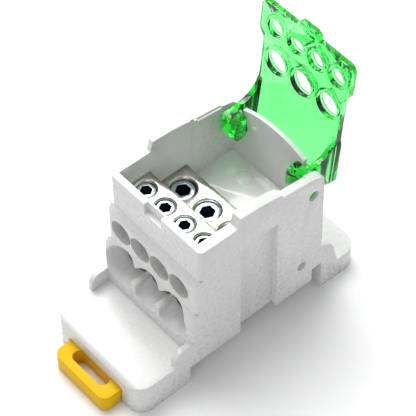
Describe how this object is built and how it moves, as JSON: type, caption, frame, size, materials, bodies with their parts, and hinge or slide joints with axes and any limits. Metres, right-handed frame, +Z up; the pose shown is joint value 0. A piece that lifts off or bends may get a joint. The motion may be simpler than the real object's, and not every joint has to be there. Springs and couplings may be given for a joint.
{
  "type": "power distribution block",
  "caption": "Rail-mounted one-pole power distribution block with a hinged clear lid, stepped screw clamps, round wire entries and a sliding rail clip.",
  "frame": {"origin": "middle of the mounting rail, on the plane of the feet's soles, under the middle wire's axis", "axes": "+X across the body, -Y towards the wire entries, +Y towards the lid's hinge, +Z up from the soles"},
  "size_m": [0.0295, 0.0706, 0.0683],
  "materials": {
    "housing_plastic": "pale grey moulded polyamide, fine satin",
    "lid_plastic": "green see-through moulded polycarbonate",
    "clip_plastic": "yellow moulded plastic, satin",
    "plated_brass": "tin-plated brass, satin",
    "zinc_steel": "blue-white zinc-plated steel"
  },
  "bodies": {
    "body": {"housing": "housing_plastic", "terminal_block": "plated_brass"},
    "lid": {"lid": "lid_plastic"},
    "rail_clip": {"rail_clip": "clip_plastic"},
    "small_screw_1": {"small_screw_1": "zinc_steel"},
    "small_screw_2": {"small_screw_2": "zinc_steel"},
    "small_screw_3": {"small_screw_3": "zinc_steel"},
    "small_screw_4": {"small_screw_4": "zinc_steel"},
    "large_screw_1": {"large_screw_1": "zinc_steel"},
    "large_screw_2": {"large_screw_2": "zinc_steel"},
    "large_screw_3": {"large_screw_3": "zinc_steel"}
  },
  "joints": [
    {"name": "lid_hinge", "type": "hinge", "parent": "body", "child": "lid", "pos_m": [0, 0.0168, 0.0357], "axis": [1, 0, 0], "range_deg": [-5, 95.8]},
    {"name": "clip_slide", "type": "slide", "parent": "body", "child": "rail_clip", "axis": [0, -1, 0], "range_m": [0, 0.003]},
    {"name": "small_screw_1_travel", "type": "slide", "parent": "body", "child": "small_screw_1", "axis": [0, 0, -1], "range_m": [0, 0.0035]},
    {"name": "small_screw_2_travel", "type": "slide", "parent": "body", "child": "small_screw_2", "axis": [0, 0, -1], "range_m": [0, 0.0035]},
    {"name": "small_screw_3_travel", "type": "slide", "parent": "body", "child": "small_screw_3", "axis": [0, 0, -1], "range_m": [0, 0.0035]},
    {"name": "small_screw_4_travel", "type": "slide", "parent": "body", "child": "small_screw_4", "axis": [0, 0, -1], "range_m": [0, 0.0035]},
    {"name": "large_screw_1_travel", "type": "slide", "parent": "body", "child": "large_screw_1", "axis": [0, 0, -1], "range_m": [0, 0.0055]},
    {"name": "large_screw_2_travel", "type": "slide", "parent": "body", "child": "large_screw_2", "axis": [0, 0, -1], "range_m": [0, 0.0055]},
    {"name": "large_screw_3_travel", "type": "slide", "parent": "body", "child": "large_screw_3", "axis": [0, 0, -1], "range_m": [0, 0.0055]}
  ]
}
